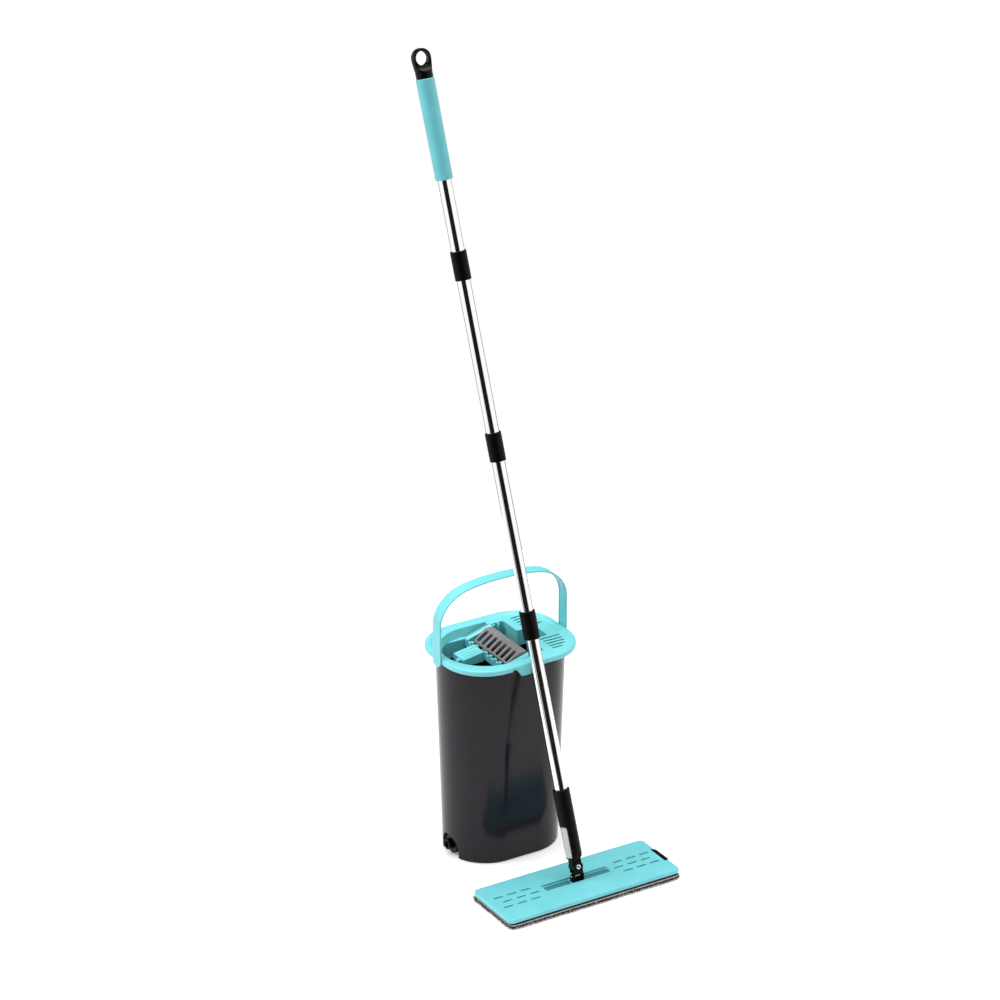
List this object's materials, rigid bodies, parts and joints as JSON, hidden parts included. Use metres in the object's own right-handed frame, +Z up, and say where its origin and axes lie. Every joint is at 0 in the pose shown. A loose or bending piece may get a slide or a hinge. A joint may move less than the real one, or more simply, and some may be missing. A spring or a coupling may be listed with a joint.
{
  "type": "flat mop with squeeze bucket",
  "caption": "Flat floor mop on a jointed steel pole, leaning on its oval squeeze bucket with a sprung wringer comb, drain plug and bail.",
  "frame": {"origin": "centre of the bucket's flat underside, on the floor", "axes": "+Z up, +X along the bucket's long side, -Y towards the mop head; the pole leans back towards +Y"},
  "size_m": [0.3365, 0.4616, 1.3607],
  "materials": {
    "turquoise_plastic": "satin moulded plastic, light turquoise",
    "charcoal_plastic": "glossy moulded plastic, dark charcoal",
    "black_plastic": "satin black moulded plastic",
    "comb_grey": "satin warm grey plastic",
    "pale_grey": "satin pale grey plastic",
    "chrome": "polished chrome-plated steel tube",
    "steel": "plain zinc-plated steel",
    "microfibre": "grey speckled microfibre",
    "rubber": "matte black rubber",
    "hook_tape": "woven hook tape"
  },
  "bodies": {
    "bucket": {"bucket_body": "charcoal_plastic", "lid": "turquoise_plastic", "spring_housing": "turquoise_plastic", "comb_spring": "steel", "drain_gasket": "rubber"},
    "comb": {"wringer_comb": "comb_grey"},
    "bail": {"bail": "turquoise_plastic"},
    "drain": {"drain_plug": "black_plastic"},
    "mop_head": {"mop_plate": "turquoise_plastic", "mop_pad": "microfibre", "hook_strip_front": "hook_tape", "hook_strip_rear": "hook_tape", "pad_tab": "black_plastic", "hinge_bracket": "black_plastic", "bracket_screw_left": "steel", "bracket_screw_right": "steel", "tilt_pin": "chrome"},
    "yoke": {"swivel_yoke": "black_plastic", "swing_screw": "chrome", "swing_nut": "steel"},
    "pole": {"pole_socket": "black_plastic", "socket_core": "pale_grey", "pole_tube_1": "chrome", "pole_tube_2": "chrome", "pole_tube_3": "chrome", "pole_tube_4": "chrome", "pole_collar_1": "black_plastic", "pole_collar_2": "black_plastic", "pole_collar_3": "black_plastic", "thread_insert_1": "black_plastic", "thread_insert_2": "black_plastic", "thread_insert_3": "black_plastic", "grip": "turquoise_plastic", "hang_cap": "black_plastic"}
  },
  "joints": [
    {"name": "comb_press", "type": "slide", "parent": "bucket", "child": "comb", "axis": [1, 0, 0], "range_m": [-0.006, 0], "stiffness_N_per_m": 1500, "springref_m": 0.002, "deforming": ["comb_spring"]},
    {"name": "bail_swing", "type": "hinge", "parent": "bucket", "child": "bail", "pos_m": [0, 0, 0.3702], "axis": [1, 0, 0], "range_deg": [-130, 20]},
    {"name": "drain_pull", "type": "slide", "parent": "bucket", "child": "drain", "axis": [-1, 0, 0], "range_m": [0, 0.03]},
    {"name": "mop_glide", "type": "slide", "parent": "bucket", "child": "mop_head", "axis": [0, -1, 0], "range_m": [0, 0.35]},
    {"name": "head_tilt", "type": "hinge", "parent": "mop_head", "child": "yoke", "pos_m": [0.019, -0.213, 0.025], "axis": [1, 0, 0], "range_deg": [0, 80]},
    {"name": "pole_swing", "type": "hinge", "parent": "yoke", "child": "pole", "pos_m": [0.019, -0.20846, 0.04034], "axis": [0, 0.9589, -0.2837], "range_deg": [-82.5, 87.5]}
  ]
}
